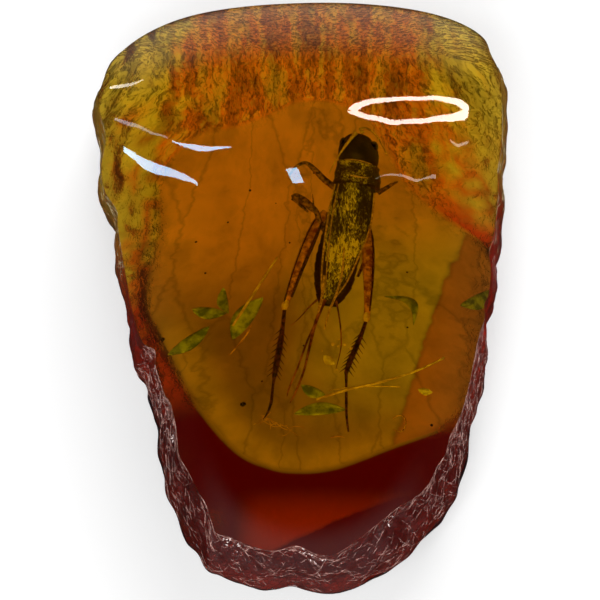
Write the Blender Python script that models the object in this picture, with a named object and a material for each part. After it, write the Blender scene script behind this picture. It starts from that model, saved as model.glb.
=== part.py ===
"""Paperweight of cast amber resin with an insect sealed in it, lying on its ground back.

The block is one casting: a domed and polished front, a rough broken flank all round, an
undercut back, and one flat facet, ground on the back, on which it rests. What is sealed in the
resin cannot be taken out, so the block is a single closed solid.

Axes: +X to the right of the polished face, +Y towards its broad end, +Z up out of the face.
The origin is under the middle of the block's box, on the plane of the ground facet.
"""

import math

import bmesh
import bpy
from mathutils import Vector, noise

MM = 0.001

# Driving dimensions, in millimetres
HEIGHT = 30.0  # from the ground facet to the crown of the dome
SPRING_HEIGHT = 7.0  # height at which the dome would meet its own outline
DOME_POWER = 2.7  # above 2 the dome is flatter on top and turns down faster at its edge

# The widest outline of the block, seen from above, anticlockwise from the right
RIM = (
    (29.5, 1.5), (30.1, 9.0), (30.9, 17.0), (31.5, 27.0), (30.8, 36.6), (28.4, 42.2),
    (20.4, 45.6), (10.5, 47.0), (0.0, 46.9), (-9.5, 46.2), (-18.8, 44.1), (-26.9, 39.5),
    (-31.0, 33.4), (-31.0, 27.0), (-30.4, 17.0), (-28.2, 9.5), (-26.9, 2.0),
    (-25.0, -8.0), (-21.8, -16.6), (-20.2, -25.6), (-18.0, -33.4), (-14.0, -39.5),
    (-6.5, -43.6), (2.0, -45.0), (11.0, -42.9), (18.4, -36.8), (23.2, -29.3),
    (26.0, -19.5), (28.2, -9.5),
)

# Chips out of the rim, and teeth left on it: direction and half width in degrees, millimetres
RIM_BREAKS = (
    (9.5, 3.5, -0.6), (31.0, 3.5, -0.5), (52.5, 2.4, -1.1), (132.0, 2.4, -0.6),
    (142.0, 4.0, -1.3), (158.0, 3.2, -0.7), (209.0, 3.4, -0.9), (237.0, 3.0, 0.6),
    (252.0, 2.3, 1.1), (269.5, 3.2, -1.0), (308.5, 2.6, 0.6), (352.5, 3.0, -0.5),
)

# Control points of the smooth outline on which the dome is raised
DOME = (
    (30.2, 0.0), (31.8, 16.0), (33.4, 32.0), (29.8, 44.6), (12.4, 48.2), (-4.0, 48.1),
    (-20.6, 46.0), (-33.2, 37.0), (-32.0, 20.0), (-28.8, 4.0), (-25.8, -10.0),
    (-22.0, -25.6), (-15.0, -41.0), (-1.0, -46.4), (13.0, -43.6), (21.8, -34.4),
    (26.6, -22.0), (29.4, -10.0),
)

# The facet ground on the back, anticlockwise from the right
FACET = (
    (20.4, 5.2), (19.0, 10.0), (15.2, 14.0), (12.6, 18.0), (11.2, 23.4), (9.2, 26.8),
    (4.3, 28.6), (-0.4, 28.5), (-4.4, 26.7), (-9.6, 24.9), (-13.3, 24.1), (-15.0, 20.4),
    (-14.1, 12.0), (-14.2, 3.0), (-12.6, -2.5), (-10.6, -8.4), (-8.8, -13.0), (-6.0, -19.2),
    (-3.1, -21.3), (0.3, -22.0), (4.8, -21.3), (9.9, -18.7), (14.0, -15.8), (17.8, -11.2),
    (19.3, -6.2), (19.6, -1.0),
)

# (direction in degrees, millimetres): how far the polished face's edge lies inside the rim
POLISH_INSET = (
    (0, 1.0), (25, 1.0), (40, 1.3), (50, 1.2), (70, 0.7), (90, 0.6), (110, 0.7),
    (128, 1.3), (140, 1.2), (165, 1.0), (185, 1.0), (205, 1.2), (221, 1.6), (228, 3.0),
    (238, 3.6), (249, 4.0), (256, 2.6), (270, 2.8), (277, 2.7), (284, 3.9), (291, 4.1),
    (300, 3.0), (309, 3.4), (321, 1.9), (340, 1.8), (350, 1.1),
)

# (direction in degrees, millimetres): height of the rim above the ground facet
RIM_HEIGHT = (
    (0, 9.0), (45, 9.0), (90, 8.5), (135, 9.0), (180, 9.0), (225, 7.0),
    (270, 5.5), (315, 7.0),
)

# Broken resin: how far the lumps and chips stand out, and how far apart they are
LUMP_DEPTH = 1.1
LUMP_SPACING = 8.0
CHIP_DEPTH = 0.6
CHIP_SPACING = 3.6
LEAST_CLEARANCE = 0.3  # the rough back stays this far above the surface it rests on

# Mesh density
SEGMENTS = 160  # points round each ring
DOME_RINGS = 12
FLANK_RINGS = 5
BACK_RINGS = 8
CURVE_STEPS = 12  # straight steps for each control point of an outline


def spline_point(p0, p1, p2, p3, t, through):
    """A point of a Catmull-Rom curve, which goes through its points, or of a B-spline."""
    if through:
        weights = (
            (-t + 2 * t**2 - t**3) / 2,
            (2 - 5 * t**2 + 3 * t**3) / 2,
            (t + 4 * t**2 - 3 * t**3) / 2,
            (t**3 - t**2) / 2,
        )
    else:
        weights = (
            (1 - t) ** 3 / 6,
            (4 - 6 * t**2 + 3 * t**3) / 6,
            (1 + 3 * t + 3 * t**2 - 3 * t**3) / 6,
            t**3 / 6,
        )
    return tuple(sum(w * p[k] for w, p in zip(weights, (p0, p1, p2, p3))) for k in (0, 1))


def closed_curve(points, through):
    """Points along a closed curve."""
    count = len(points)
    return [
        spline_point(*(points[(i + k - 1) % count] for k in range(4)), j / CURVE_STEPS, through)
        for i in range(count)
        for j in range(CURVE_STEPS)
    ]


def interpolator(samples):
    """A function of an angle in radians, straight between (angle, value) samples."""
    knots = sorted((angle % math.tau, value) for angle, value in samples)
    knots = [(knots[-1][0] - math.tau, knots[-1][1])] + knots
    knots.append((knots[1][0] + math.tau, knots[1][1]))

    def value_at(angle):
        angle %= math.tau
        low, high = 0, len(knots) - 1
        while high - low > 1:
            middle = (low + high) // 2
            if knots[middle][0] <= angle:
                low = middle
            else:
                high = middle
        (start, first), (end, last) = knots[low], knots[high]
        return first + (last - first) * (angle - start) / (end - start)

    return value_at


def radius_function(points, through):
    """The radius of an outline as a function of an angle in radians."""
    curve = closed_curve(points, through)
    return interpolator([(math.atan2(y, x), math.hypot(x, y)) for x, y in curve])


def ring_function(samples):
    """A smooth function of an angle in radians through (degrees, value) samples."""
    first, last = samples[0], samples[-1]
    around = (
        (last[0] - 360, last[1]), *samples, (first[0] + 360, first[1]),
        (samples[1][0] + 360, samples[1][1]),
    )
    curve = [
        spline_point(*around[i:i + 4], j / CURVE_STEPS, True)
        for i in range(len(around) - 3)
        for j in range(CURVE_STEPS)
    ]
    return interpolator([(math.radians(angle), value) for angle, value in curve])


smooth_rim_radius = radius_function(RIM, through=True)
dome_radius = radius_function(DOME, through=False)
facet_radius = radius_function(FACET, through=True)
polish_inset = ring_function(POLISH_INSET)
rim_height = ring_function(RIM_HEIGHT)


def rim_radius(angle):
    """Radius of the rim, with its chips and teeth."""
    radius = smooth_rim_radius(angle)
    for direction, half_width, height in RIM_BREAKS:
        turn = math.remainder(angle - math.radians(direction), math.tau)
        away = abs(turn) / math.radians(half_width)
        if away < 2.0:
            radius += height * math.exp(-away * away)
    return radius


def dome_height(angle, radius):
    """Height of the polished face over a point of the plan."""
    share = (radius / dome_radius(angle)) ** DOME_POWER
    return SPRING_HEIGHT + (HEIGHT - SPRING_HEIGHT) * math.sqrt(max(0.0, 1.0 - share))


def bezier(points, t):
    """A point of a cubic Bezier curve in (radius, height)."""
    s = 1.0 - t
    weights = (s**3, 3 * s * s * t, 3 * s * t * t, t**3)
    return tuple(sum(w * p[k] for w, p in zip(weights, points)) for k in (0, 1))


def broken(point, outwards, weight):
    """Moves a point of the rough skin along a direction by the lumps and chips of the resin."""
    lumps = noise.noise(point / LUMP_SPACING)
    chips = noise.noise(point / CHIP_SPACING + Vector((11.0, 5.0, 3.0)))
    moved = point + outwards * weight * (LUMP_DEPTH * lumps + CHIP_DEPTH * chips)
    moved.z = max(moved.z, LEAST_CLEARANCE)
    return moved


def column(angle):
    """The points, from the crown down to the facet's edge, of one upright cut of the block."""
    direction = Vector((math.cos(angle), math.sin(angle), 0.0))
    up = Vector((0.0, 0.0, 1.0))
    rim, low = rim_radius(angle), rim_height(angle)
    facet = facet_radius(angle)
    edge = rim - polish_inset(angle)
    top = dome_height(angle, edge)

    points = []
    for i in range(1, DOME_RINGS + 1):
        radius = edge * math.sin(0.5 * math.pi * i / DOME_RINGS)
        points.append(direction * radius + up * dome_height(angle, radius))
    flank = (
        (edge, top), (edge + 0.4 * (rim - edge), top - 0.3 * (top - low)),
        (rim, low + 0.4 * (top - low)), (rim, low),
    )
    for i in range(1, FLANK_RINGS + 1):
        t = i / FLANK_RINGS
        radius, height = bezier(flank, t)
        normal = (direction * (top - low) + up * (rim - edge)).normalized()
        point = direction * radius + up * height
        points.append(broken(point, normal, math.sin(0.5 * math.pi * t)))
    back = (
        (rim, low), (rim, 0.4 * low), (facet + 0.75 * (rim - facet), 0.06 * low), (facet, 0.0),
    )
    for i in range(1, BACK_RINGS + 1):
        t = i / BACK_RINGS
        radius, height = bezier(back, t)
        normal = (direction * (1.0 - t) - up * t).normalized()
        point = direction * radius + up * height
        points.append(broken(point, normal, math.cos(0.5 * math.pi * t)) if i < BACK_RINGS else point)
    return points


def centred(columns):
    """The columns moved so that the block's box is centred on the Z axis."""
    xs = [point.x for points in columns for point in points]
    ys = [point.y for points in columns for point in points]
    middle = Vector(((min(xs) + max(xs)) / 2, (min(ys) + max(ys)) / 2, 0.0))
    return [[point - middle for point in points] for points in columns], middle


def block_mesh():
    """The block's mesh: rings from the crown to the facet, bridged, and closed by the facet."""
    columns, middle = centred([column(math.tau * i / SEGMENTS) for i in range(SEGMENTS)])
    bm = bmesh.new()
    rings = [[bm.verts.new(points[k] * MM) for points in columns] for k in range(len(columns[0]))]
    crown = bm.verts.new((Vector((0.0, 0.0, HEIGHT)) - middle) * MM)
    for i in range(SEGMENTS):
        bm.faces.new((crown, rings[0][i], rings[0][(i + 1) % SEGMENTS]))
    for upper, lower in zip(rings, rings[1:]):
        for i in range(SEGMENTS):
            j = (i + 1) % SEGMENTS
            bm.faces.new((upper[j], upper[i], lower[i], lower[j]))
    bm.faces.new(list(reversed(rings[-1])))
    mesh = bpy.data.meshes.new("resin_block")
    bm.to_mesh(mesh)
    bm.free()
    mesh.shade_smooth()
    mesh.set_sharp_from_angle(angle=math.radians(35))
    return mesh


def amber_resin():
    """Clear cast resin dyed to the colour of amber."""
    material = bpy.data.materials.new("amber_resin")
    material.use_nodes = True
    shader = material.node_tree.nodes["Principled BSDF"]
    shader.inputs["Base Color"].default_value = (0.42, 0.13, 0.01, 1.0)
    shader.inputs["Roughness"].default_value = 0.08
    shader.inputs["Metallic"].default_value = 0.0
    shader.inputs["IOR"].default_value = 1.54
    shader.inputs["Transmission Weight"].default_value = 0.9
    return material


def main():
    for obj in list(bpy.data.objects):
        bpy.data.objects.remove(obj, do_unlink=True)
    block = bpy.data.objects.new("resin_block", block_mesh())
    block.data.materials.append(amber_resin())
    bpy.context.scene.collection.objects.link(block)


main()
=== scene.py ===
# A cricket in a block of cast amber resin, for Blender 4.5. Everything is in metres.
import math
import random

import bmesh
import bpy
from mathutils import Matrix, Vector, noise


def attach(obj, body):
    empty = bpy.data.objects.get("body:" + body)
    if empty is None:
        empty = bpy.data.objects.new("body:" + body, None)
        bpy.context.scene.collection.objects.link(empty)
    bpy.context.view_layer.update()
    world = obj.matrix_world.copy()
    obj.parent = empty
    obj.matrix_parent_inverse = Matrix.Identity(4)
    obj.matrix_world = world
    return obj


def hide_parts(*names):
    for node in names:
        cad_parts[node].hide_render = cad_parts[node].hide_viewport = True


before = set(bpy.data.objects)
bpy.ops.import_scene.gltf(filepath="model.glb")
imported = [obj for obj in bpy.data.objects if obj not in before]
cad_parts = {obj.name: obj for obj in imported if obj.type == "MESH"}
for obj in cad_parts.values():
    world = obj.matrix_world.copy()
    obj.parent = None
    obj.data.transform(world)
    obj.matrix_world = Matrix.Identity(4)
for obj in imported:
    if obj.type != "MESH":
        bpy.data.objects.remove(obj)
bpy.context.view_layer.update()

mm = 0.001


def hexColour(code, alpha=1.0):
    # an sRGB hex value, such as "c8641e", turned to linear
    parts = [int(code[i:i + 2], 16) / 255 for i in (0, 2, 4)]
    return tuple(p / 12.92 if p <= 0.04045 else ((p + 0.055) / 1.055) ** 2.4 for p in parts) + (alpha,)


def addNode(tree, kind, sockets=None, **settings):
    # adds a node, sets its properties, and fills each socket with a value or a link
    made = tree.nodes.new(kind)
    for name, value in settings.items():
        setattr(made, name, value)
    for name, value in (sockets or {}).items():
        if isinstance(value, bpy.types.NodeSocket):
            tree.links.new(value, made.inputs[name])
        else:
            made.inputs[name].default_value = value
    return made


def newMaterial(name):
    material = bpy.data.materials.new(name)
    material.use_nodes = True
    tree = material.node_tree
    return material, tree, tree.nodes["Principled BSDF"], tree.nodes["Material Output"]


def addPiece(name, mesh, material, smooth=True):
    # a new object from a mesh, riding on the block
    piece = bpy.data.objects.new(name, mesh)
    bpy.context.scene.collection.objects.link(piece)
    mesh.materials.append(material)
    if smooth:
        mesh.shade_smooth()
    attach(piece, "root")
    return piece


# the block: the same curves as the solid it replaces, with a much finer mesh

block = {
    "height": 30.0, "springHeight": 7.0, "domePower": 2.7,
    "rim": ((29.5, 1.5), (30.1, 9.0), (30.9, 17.0), (31.5, 27.0), (30.8, 36.6), (28.4, 42.2),
            (20.4, 45.6), (10.5, 47.0), (0.0, 46.9), (-9.5, 46.2), (-18.8, 44.1), (-26.9, 39.5),
            (-31.0, 33.4), (-31.0, 27.0), (-30.4, 17.0), (-28.2, 9.5), (-26.9, 2.0),
            (-25.0, -8.0), (-21.8, -16.6), (-20.2, -25.6), (-18.0, -33.4), (-14.0, -39.5),
            (-6.5, -43.6), (2.0, -45.0), (11.0, -42.9), (18.4, -36.8), (23.2, -29.3),
            (26.0, -19.5), (28.2, -9.5)),
    "rimBreaks": ((9.5, 3.5, -0.6), (31.0, 3.5, -0.5), (52.5, 2.4, -1.1), (132.0, 2.4, -0.6),
                  (142.0, 4.0, -1.3), (158.0, 3.2, -0.7), (209.0, 3.4, -0.9), (237.0, 3.0, 0.6),
                  (252.0, 2.3, 1.1), (269.5, 3.2, -1.0), (308.5, 2.6, 0.6), (352.5, 3.0, -0.5)),
    "dome": ((30.2, 0.0), (31.8, 16.0), (33.4, 32.0), (29.8, 44.6), (12.4, 48.2), (-4.0, 48.1),
             (-20.6, 46.0), (-33.2, 37.0), (-32.0, 20.0), (-28.8, 4.0), (-25.8, -10.0),
             (-22.0, -25.6), (-15.0, -41.0), (-1.0, -46.4), (13.0, -43.6), (21.8, -34.4),
             (26.6, -22.0), (29.4, -10.0)),
    "facet": ((20.4, 5.2), (19.0, 10.0), (15.2, 14.0), (12.6, 18.0), (11.2, 23.4), (9.2, 26.8),
              (4.3, 28.6), (-0.4, 28.5), (-4.4, 26.7), (-9.6, 24.9), (-13.3, 24.1),
              (-15.0, 20.4), (-14.1, 12.0), (-14.2, 3.0), (-12.6, -2.5), (-10.6, -8.4),
              (-8.8, -13.0), (-6.0, -19.2), (-3.1, -21.3), (0.3, -22.0), (4.8, -21.3),
              (9.9, -18.7), (14.0, -15.8), (17.8, -11.2), (19.3, -6.2), (19.6, -1.0)),
    "polishInset": ((0, 1.0), (25, 1.0), (40, 1.3), (50, 1.2), (70, 0.7), (90, 0.6), (110, 0.7),
                    (128, 1.3), (140, 1.2), (165, 1.0), (185, 1.0), (205, 1.2), (221, 1.6),
                    (228, 3.0), (238, 3.6), (249, 4.0), (256, 2.6), (270, 2.8), (277, 2.7),
                    (284, 3.9), (291, 4.1), (300, 3.0), (309, 3.4), (321, 1.9), (340, 1.8),
                    (350, 1.1)),
    "rimHeight": ((0, 9.0), (45, 9.0), (90, 8.5), (135, 9.0), (180, 9.0), (225, 7.0),
                  (270, 5.5), (315, 7.0)),
    "lumpDepth": 1.1, "lumpSpacing": 8.0, "chipDepth": 0.6, "chipSpacing": 3.6,
    "leastClearance": 0.3, "floorGap": 0.05,  # how low the lumps and the finer relief may reach
    "middle": (0.0, 0.0),  # filled in below: the shift that centres the block's box
    "curveSteps": 12,
    "segments": 560, "domeRings": 40, "flankRings": 34, "backRings": 54, "facetRings": 22,
    "rippleSpacing": 2.3, "rippleDepth": 0.40, "rippleStretch": 2.0,  # long folds, drawn out along Y
    "nuggetSpacing": 1.3, "nuggetDepth": 0.30,  # rounded lumps, like hammered gold
    "crustSpacing": 0.7, "crustDepth": 0.16,  # fine crust over them
}


# which skin of the block a vertex lies on, as the material reads it
polishedSkin, flankSkin, backSkin, groundSkin = 0.0, 0.5, 1.0, 2.0


def ease(low, high, value):
    # rises smoothly from 0 to 1 between low and high, or falls where high is the lower of them
    t = min(1.0, max(0.0, (value - low) / (high - low)))
    return t * t * (3 - 2 * t)


def blend(first, second, share):
    # a colour between two others
    return tuple(a + (b - a) * share for a, b in zip(first, second))


def weigh(weights, points):
    # the weighted sum of points of any length
    return tuple(sum(w * p[k] for w, p in zip(weights, points)) for k in range(len(points[0])))


def throughPoint(points, t):
    # a place between the middle two of four points, on a curve that goes through them
    return weigh(((-t + 2 * t**2 - t**3) / 2, (2 - 5 * t**2 + 3 * t**3) / 2,
                  (t + 4 * t**2 - 3 * t**3) / 2, (t**3 - t**2) / 2), points)


def softPoint(points, t):
    # the same on a softer curve that only comes near them
    return weigh(((1 - t) ** 3 / 6, (4 - 6 * t**2 + 3 * t**3) / 6,
                  (1 + 3 * t + 3 * t**2 - 3 * t**3) / 6, t**3 / 6), points)


def bezier(points, t):
    return weigh(((1 - t) ** 3, 3 * (1 - t) * (1 - t) * t, 3 * (1 - t) * t * t, t**3), points)


def smoothPath(points, steps):
    # points joined by an open curve that goes through them
    last = len(points) - 1
    path = []
    for i in range(last):
        around = (points[max(i - 1, 0)], points[i], points[i + 1], points[min(i + 2, last)])
        path += [throughPoint(around, j / steps) for j in range(steps)]
    return path + [tuple(points[-1])]


def aroundCircle(samples):
    # a function of an angle in radians, straight between (angle, value) samples
    knots = sorted((angle % math.tau, value) for angle, value in samples)
    knots = [(knots[-1][0] - math.tau, knots[-1][1])] + knots
    knots.append((knots[1][0] + math.tau, knots[1][1]))

    def valueAt(angle):
        angle %= math.tau
        low, high = 0, len(knots) - 1
        while high - low > 1:
            middle = (low + high) // 2
            if knots[middle][0] <= angle:
                low = middle
            else:
                high = middle
        (start, first), (end, last) = knots[low], knots[high]
        return first + (last - first) * (angle - start) / (end - start)

    return valueAt


def outlineRadius(points, curvePoint):
    # how far a closed outline lies from the origin in each direction
    count, steps = len(points), block["curveSteps"]
    curve = [curvePoint([points[(i + k - 1) % count] for k in range(4)], j / steps)
             for i in range(count) for j in range(steps)]
    return aroundCircle([(math.atan2(y, x), math.hypot(x, y)) for x, y in curve])


def roundTheBlock(samples):
    # a smooth function of direction through (degrees, value) samples
    steps = block["curveSteps"]
    first, second, last = samples[0], samples[1], samples[-1]
    loop = ((last[0] - 360, last[1]), *samples, (first[0] + 360, first[1]), (second[0] + 360, second[1]))
    curve = [throughPoint(loop[i:i + 4], j / steps) for i in range(len(loop) - 3) for j in range(steps)]
    return aroundCircle([(math.radians(angle), value) for angle, value in curve])


smoothRimRadius = outlineRadius(block["rim"], throughPoint)
domeRadius = outlineRadius(block["dome"], softPoint)
facetRadius = outlineRadius(block["facet"], throughPoint)
polishInset = roundTheBlock(block["polishInset"])
rimHeight = roundTheBlock(block["rimHeight"])


def rimRadius(angle):
    # the smooth rim with its few breaks, each a bump or a notch
    radius = smoothRimRadius(angle)
    for direction, halfWidth, height in block["rimBreaks"]:
        away = abs(math.remainder(angle - math.radians(direction), math.tau)) / math.radians(halfWidth)
        if away < 2.0:
            radius += height * math.exp(-away * away)
    return radius


def domeHeight(angle, radius):
    share = (radius / domeRadius(angle)) ** block["domePower"]
    rise = block["height"] - block["springHeight"]
    return block["springHeight"] + rise * math.sqrt(max(0.0, 1 - share))


def brokenResin(point, outwards, weight, fineWeight):
    # the solid's own lumps and chips, then finer relief that only goes inwards, clear of the floor
    lumps = noise.noise(point / block["lumpSpacing"])
    chips = noise.noise(point / block["chipSpacing"] + Vector((11.0, 5.0, 3.0)))
    moved = point + outwards * weight * (block["lumpDepth"] * lumps + block["chipDepth"] * chips)
    moved.z = max(moved.z, block["leastClearance"])
    drawn = Vector((point.x, point.y / block["rippleStretch"], point.z))
    ripple = min(1.0, 2.2 * abs(noise.noise(drawn / block["rippleSpacing"])))
    nugget = min(1.0, noise.voronoi(drawn / block["nuggetSpacing"])[0][0]) ** 2
    crust = 0.5 + 0.5 * noise.noise(point / block["crustSpacing"])
    relief = (block["rippleDepth"] * ripple + block["nuggetDepth"] * nugget + block["crustDepth"] * crust)
    moved -= outwards * fineWeight * relief
    moved.z = max(moved.z, block["floorGap"])
    return moved


def polishedEdge(angle):
    return rimRadius(angle) - polishInset(angle)


def flankPoint(angle, t):
    # a point of the broken flank, t running from the polished face's edge down to the rim
    rim, low, edge = rimRadius(angle), rimHeight(angle), polishedEdge(angle)
    top = domeHeight(angle, edge)
    direction, up = Vector((math.cos(angle), math.sin(angle), 0.0)), Vector((0.0, 0.0, 1.0))
    radius, height = bezier(((edge, top), (edge + 0.4 * (rim - edge), top - 0.3 * (top - low)),
                             (rim, low + 0.4 * (top - low)), (rim, low)), t)
    outwards = (direction * (top - low) + up * (rim - edge)).normalized()
    weight = math.sin(0.5 * math.pi * t)
    fine = min(1.0, 5 * t) * (1 - 0.5 * ease(0.4, 1.0, t))  # calmer at the rim, to keep the outline's size
    return brokenResin(direction * radius + up * height, outwards, weight, fine)


def blockColumn(angle):
    # the block's section in one direction, from the crown down the flank and in under the back
    direction, up = Vector((math.cos(angle), math.sin(angle), 0.0)), Vector((0.0, 0.0, 1.0))
    rim, low, facet = rimRadius(angle), rimHeight(angle), facetRadius(angle)
    points, skin = [], []
    for i in range(1, block["domeRings"] + 1):
        radius = polishedEdge(angle) * math.sin(0.5 * math.pi * i / block["domeRings"])
        points.append(direction * radius + up * domeHeight(angle, radius))
        skin.append(polishedSkin)
    for i in range(1, block["flankRings"] + 1):
        points.append(flankPoint(angle, i / block["flankRings"]))
        skin.append(flankSkin)
    back = ((rim, low), (rim, 0.4 * low), (facet + 0.75 * (rim - facet), 0.06 * low), (facet, 0.0))
    for i in range(1, block["backRings"] + 1):
        t = i / block["backRings"]
        radius, height = bezier(back, t)
        outwards = (direction * (1 - t) - up * t).normalized()
        point = direction * radius + up * height
        if i < block["backRings"]:
            weight = math.cos(0.5 * math.pi * t)
            calm = 0.25 + 0.75 * ease(-20.0, -8.0, point.y)  # the narrow end broke off much smoother
            calm *= 0.5 + 0.5 * ease(0.0, 0.3, t)
            point = brokenResin(point, outwards, weight, calm * min(1.0, 12 * (1 - t)))
        points.append(point)
        skin.append(backSkin if i < block["backRings"] else groundSkin)
    for i in range(block["facetRings"], 0, -1):
        points.append(direction * facet * i / (block["facetRings"] + 1))
        skin.append(groundSkin)
    return points, skin


resin = {
    "ior": 1.54, "polished": 0.0, "broken": 0.3,  # the last two are roughness
    "absorb": "f9eb00", "absorbDensity": 180.0,  # yellow when thin, orange through the whole depth
    # the dyes of the pours, on the broken back and flank
    "gold": "fffac8", "orange": "ff6424", "broadEnd": "ffa468", "rust": "b41606", "red": "d8240a",
    "wine": "2c0000", "ember": "840500", "crust": "f45444", "umber": "6a2c10",
    # and on the ground facet
    "facetHigh": "d67c60", "facetLeft": "6a3c30", "facetRight": "a4904c", "facetEnd": "6c4628",
    "facetBand": "9c4c30", "facetGlow": "a8742c",
    "bandEdge": (14.6, 0.235),  # the orange band on the facet starts at x = first + second * y, in mm
    "emberEdge": (-31.8, 0.49), "emberLeft": -6.5, "emberTop": -25.5,  # the bright flake in the wine pour
    "edgeJag": 1.0,
    # spacings, lengths and depths in mm; a shade is how bright the darkest part stays
    # the wrinkles, grain and runs darken the broken skin as painted shade of its relief
    "wrinkleSpacing": 0.95, "wrinkleShade": 0.5, "wrinkleWidth": 0.1,
    "grainSpacing": 0.42, "grainLength": 0.8, "grainDepth": 0.05, "grainShade": 0.12,
    "grainRange": (0.38, 0.5), "dripRange": (0.38, 0.54),  # from this much noise to that the shade clears
    "edgeGrain": (34.0, 41.0),  # from here to here along Y the grain turns to follow the broad end
    "mottleSpacing": 2.4, "mottleShade": 0.62,
    "dripSpacing": 1.7, "dripLength": 7.0, "dripShade": 0.45,
    "goldHighlightRuns": 0.3, "goldHighlightFlecks": 0.3, "goldHighlightFrom": (13.0, 22.0),  # painted gold highlights in the orange, rising along Y
    "crackSpacing": 5.0, "crackShade": 0.5, "crackTurn": -25.0, "crackWidth": 0.035,
    "seamShade": 0.55, "seamWidth": 0.35,  # the dark line along the orange band
    "warpSpacing": 7.0, "warpDepth": 3.0, "warpSeed": 3,  # how far the dyed pours wander into each other
}
tints = {name: hexColour(resin[name]) for name in (
    "gold", "orange", "broadEnd", "rust", "red", "wine", "crust", "umber",
    "facetHigh", "facetLeft", "facetRight", "facetEnd", "facetGlow")}


def facetInset(point):
    # how far a point lies inside the ground facet's outline
    x, y = point.x + block["middle"][0], point.y + block["middle"][1]
    return facetRadius(math.atan2(y, x)) - math.hypot(x, y)


def facetTint(point, drift):
    # brown at the left, ochre at the right, redder above and glowing along its lower edge
    tint = blend(tints["facetLeft"], tints["facetRight"], ease(-4, 9, point.x + 0.8 * drift.x))
    tint = blend(tint, tints["facetHigh"], ease(-4, 15, point.y + 0.3 * drift.y - 0.3 * point.x))
    tint = blend(tint, tints["facetEnd"], ease(-8, -21, point.y + 0.5 * drift.y))
    tint = blend(tint, tints["facetGlow"], ease(3.6, 0.4, facetInset(point)) * ease(2.0, -8.0, point.y))
    cloud = 1 + 0.3 * noise.noise(point / 4.0) + 0.15 * noise.noise(point / 1.2)
    return tuple(min(1.0, c * cloud) for c in tint[:3]) + (1.0,)


def pourTint(point, skin):
    # the dye left in the outer skin by each pour: gold at the broad corners, wine at the narrow end
    if skin == polishedSkin:
        return (1.0, 1.0, 1.0, 1.0)
    drift = noise.noise_vector(point / resin["warpSpacing"]) * resin["warpDepth"]
    if skin == groundSkin:
        return facetTint(point, drift)
    x, y = point.x + drift.x, point.y + drift.y
    stain = noise.noise(Vector((point.x / 2.6, point.y / 5.5, 3.0))) + 0.5 * noise.noise(point / 1.5)
    tint = blend(tints["orange"], tints["broadEnd"], ease(37.0, 42.0, point.y))
    tint = blend(tint, tints["umber"], 0.75 * ease(0.05, 0.45, stain))
    mixing = noise.noise(Vector((point.x / 0.9, point.y / 2.4, 5.0)))  # the two dyes meet in fine fingers
    tint = blend(tint, tints["gold"], ease(15.8, 19.0, abs(x - 0.8) - 1.5 * stain - 4 * mixing))
    rightSide = ease(8.0, 14.0, point.x)
    tint = blend(tint, blend(tints["rust"], tints["red"], rightSide), ease(8.0, -1.0, y - 11 * rightSide))
    tint = blend(tint, tints["wine"], ease(-8.0, -17.0, y))
    if skin == flankSkin:
        tint = blend(tint, tints["crust"], ease(14.0, 0.0, point.y) * 0.9)
    return tint


def creaseShadeDepth(point, skin):
    # how strongly the painted crease shade and the bump show: full on the broken back, weak on its smooth
    # narrow end
    if skin == polishedSkin:
        return 0.0
    if skin == flankSkin:
        return 0.6
    if skin == groundSkin:
        # on the ground facet the painted crease shade shows near its upper edge and grows towards its
        # right side
        edge = ease(1.8, 0.0, facetInset(point)) * ease(-6.0, 2.0, point.y)
        return max(0.45 * edge, 0.7 * ease(15.0, 18.5, point.x - 0.1 * point.y))
    side = ease(14.0, 17.0, abs(point.x)) * ease(30.0, 22.0, point.y)  # the gold sides get less painted crease shade, to keep them bright
    return (0.12 + 0.88 * ease(-17.0, -6.0, point.y)) * (1 - 0.6 * side)


def blockMesh():
    # the columns side by side as one closed skin, with its skin, painted crease shade and tint on each
    # vertex
    noise.seed_set(resin["warpSeed"])  # without it the pours would wander differently on each run
    columns = [blockColumn(math.tau * i / block["segments"]) for i in range(block["segments"])]
    xs = [p.x for points, skin in columns for p in points]
    ys = [p.y for points, skin in columns for p in points]
    middle = Vector(((min(xs) + max(xs)) / 2, (min(ys) + max(ys)) / 2, 0.0))
    block["middle"] = tuple(middle.xy)
    bm = bmesh.new()
    skinLayer = bm.verts.layers.float.new("skin")
    # how strongly the painted crease shade and the bump show
    creaseShadeLayer = bm.verts.layers.float.new("creaseShade")
    tintLayer = bm.verts.layers.float_color.new("tint")

    def addVert(point, skin):
        place = point - middle
        vert = bm.verts.new(place * mm)
        vert[skinLayer] = skin
        vert[creaseShadeLayer] = creaseShadeDepth(place, skin)
        vert[tintLayer] = pourTint(place, skin)
        return vert

    rings = [[addVert(points[k], skin[k]) for points, skin in columns] for k in range(len(columns[0][0]))]
    crown = addVert(Vector((0.0, 0.0, block["height"])), polishedSkin)
    centre = addVert(Vector((0.0, 0.0, 0.0)), groundSkin)
    count = block["segments"]
    for i in range(count):
        j = (i + 1) % count
        bm.faces.new((crown, rings[0][i], rings[0][j]))
        bm.faces.new((centre, rings[-1][j], rings[-1][i]))
        for upper, lower in zip(rings, rings[1:]):
            bm.faces.new((upper[j], upper[i], lower[i], lower[j]))
    mesh = bpy.data.meshes.new("resinBlock")
    bm.to_mesh(mesh)
    bm.free()
    return mesh


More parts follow.
